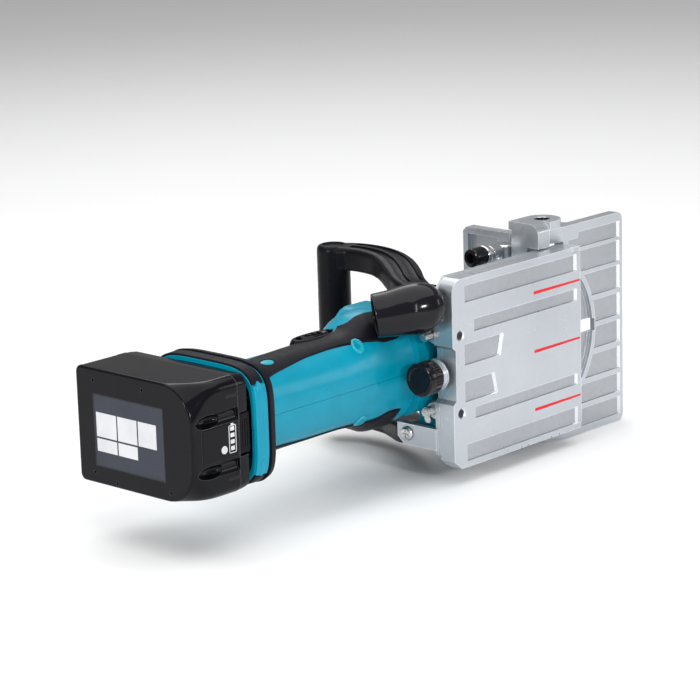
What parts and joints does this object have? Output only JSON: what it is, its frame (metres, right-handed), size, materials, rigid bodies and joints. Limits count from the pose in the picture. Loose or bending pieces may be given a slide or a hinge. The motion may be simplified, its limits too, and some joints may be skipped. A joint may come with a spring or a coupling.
{
  "type": "biscuit joiner",
  "caption": "Cordless plate joiner lying on its side, with plunging motor unit, height fence, folding angle guide, loop handle and slide-on battery.",
  "frame": {"origin": "middle of the bounding box in X and Y, on the surface that the angle guide's left edge rests on", "axes": "+X the tool's forward direction (blade end), +Y the tool's upward direction in use, +Z its right side, up as it lies"},
  "size_m": [0.4224, 0.1544, 0.157],
  "materials": {
    "cast_aluminium": "sand-cast, clear coated, satin",
    "steel": "machined",
    "blade_steel": "ground",
    "teal_plastic": "fine moulded grain",
    "black_plastic": "semi-gloss moulded",
    "gloss_black": "gloss moulded",
    "rubber": "matt overmoulding",
    "copper": "copper, lacquered",
    "carbon": "sintered, dull",
    "brass": "turned",
    "board_green": "lacquered board",
    "label_grey": "shrink sleeve"
  },
  "bodies": {
    "base": {"base_casting": "cast_aluminium", "guide_rod_left": "steel", "guide_rod_right": "steel", "return_spring_left": "steel", "return_spring_right": "steel", "d_handle": "black_plastic", "handle_screw_left": "steel", "handle_screw_right": "steel", "dust_nozzle": "gloss_black", "cover_hinge_pin_left": "steel", "cover_hinge_pin_right": "steel"},
    "blade_cover": {"blade_cover": "cast_aluminium"},
    "cover_clamp": {"cover_clamp_knob": "black_plastic", "clamp_washer": "steel"},
    "motor_unit": {"gear_housing": "cast_aluminium", "spindle_bearing": "steel", "armature_bearing_front": "steel", "armature_bearing_rear": "steel", "motor_housing_left": "teal_plastic", "motor_housing_right": "teal_plastic", "grip_rubber_left": "rubber", "grip_rubber_right": "rubber", "holder_bumper": "rubber", "motor_yoke": "steel", "field_magnet_left": "carbon", "field_magnet_right": "carbon", "brush_holder": "black_plastic", "carbon_brush_left": "carbon", "carbon_brush_right": "carbon", "controller_board": "board_green", "main_switch": "black_plastic", "terminal_block": "black_plastic"},
    "blade_spindle": {"spindle": "steel", "inner_flange": "steel", "blade": "blade_steel", "lock_nut": "steel", "bevel_gear": "steel"},
    "armature": {"armature_shaft": "steel", "armature_core": "steel", "armature_windings": "copper", "commutator": "copper", "cooling_fan": "black_plastic", "bevel_pinion": "steel"},
    "depth_screw": {"depth_adjusting_screw": "steel"},
    "turret": {"stopper_turret": "brass"},
    "shaft_lock": {"shaft_lock_button": "black_plastic"},
    "switch_knob": {"slide_switch": "black_plastic"},
    "battery": {"battery_case_lower": "gloss_black", "battery_case_upper": "gloss_black", "cell_block": "label_grey", "charge_gauge": "label_grey"},
    "battery_button": {"battery_release_button": "black_plastic"},
    "fence": {"fence_body": "cast_aluminium", "fence_rack": "steel", "guide_pivot_bolt": "steel", "guide_pivot_pin": "steel"},
    "height_adjuster": {"height_knob": "black_plastic"},
    "fence_lock": {"fence_lock_lever": "steel", "lock_lever_grip": "black_plastic"},
    "guide": {"angle_guide": "cast_aluminium"}
  },
  "joints": [
    {"name": "plunge", "type": "slide", "parent": "base", "child": "motor_unit", "axis": [1, 0, 0], "range_m": [0, 0.0215], "stiffness_N_per_m": 900, "springref_m": -0.012, "deforming": ["return_spring_left", "return_spring_right"]},
    {"name": "blade_spin", "type": "hinge", "parent": "motor_unit", "child": "blade_spindle", "pos_m": [0.0925, -0.06725, 0.0752], "axis": [0, 1, 0], "continuous": true},
    {"name": "armature_spin", "type": "hinge", "parent": "motor_unit", "child": "armature", "pos_m": [-0.0645, -0.02075, 0.0752], "axis": [1, 0, 0], "continuous": true},
    {"name": "depth_screw_turn", "type": "hinge", "parent": "motor_unit", "child": "depth_screw", "pos_m": [0.0185, -0.05325, 0.0429], "axis": [1, 0, 0], "continuous": true},
    {"name": "shaft_lock_press", "type": "slide", "parent": "motor_unit", "child": "shaft_lock", "axis": [0, 0, -1], "range_m": [0, 0.0024], "stiffness_N_per_m": 1200, "springref_m": -0.001},
    {"name": "switch_slide", "type": "slide", "parent": "motor_unit", "child": "switch_knob", "axis": [1, 0, 0], "range_m": [0, 0.0045]},
    {"name": "battery_slide", "type": "slide", "parent": "motor_unit", "child": "battery", "axis": [0, -1, 0], "range_m": [0, 0.075]},
    {"name": "battery_button_press", "type": "slide", "parent": "battery", "child": "battery_button", "axis": [0, 1, 0], "range_m": [0, 0.0024], "stiffness_N_per_m": 1200, "springref_m": -0.001},
    {"name": "cover_open", "type": "hinge", "parent": "base", "child": "blade_cover", "pos_m": [0.1405, -0.07325, 0.0752], "axis": [0, 0, 1], "range_deg": [0, 60]},
    {"name": "cover_clamp_turn", "type": "hinge", "parent": "base", "child": "cover_clamp", "pos_m": [-0.0025, -0.06425, 0.0752], "axis": [1, 0, 0], "continuous": true},
    {"name": "turret_turn", "type": "hinge", "parent": "base", "child": "turret", "pos_m": [0.0525, -0.05325, 0.0377], "axis": [1, 0, 0], "continuous": true},
    {"name": "fence_slide", "type": "slide", "parent": "base", "child": "fence", "axis": [0, 1, 0], "range_m": [-0.004, 0.035]},
    {"name": "height_knob_turn", "type": "hinge", "parent": "base", "child": "height_adjuster", "pos_m": [0.1175, -0.01525, 0.0102], "axis": [0, 0, 1], "range_deg": [-40, 336]},
    {"name": "fence_lock_turn", "type": "hinge", "parent": "fence", "child": "fence_lock", "pos_m": [0.12, -0.03075, 0.1352], "axis": [0, 0, 1], "range_deg": [-70, 0]},
    {"name": "guide_fold", "type": "hinge", "parent": "fence", "child": "guide", "pos_m": [0.1345, -0.05235, 0.0752], "axis": [0, 0, 1], "range_deg": [0, 90]}
  ],
  "couplings": [
    {"joint": "armature_spin", "follows": "blade_spin", "ratio": -3},
    {"joint": "height_knob_turn", "follows": "fence_slide", "rad_per_m": 166.67}
  ]
}
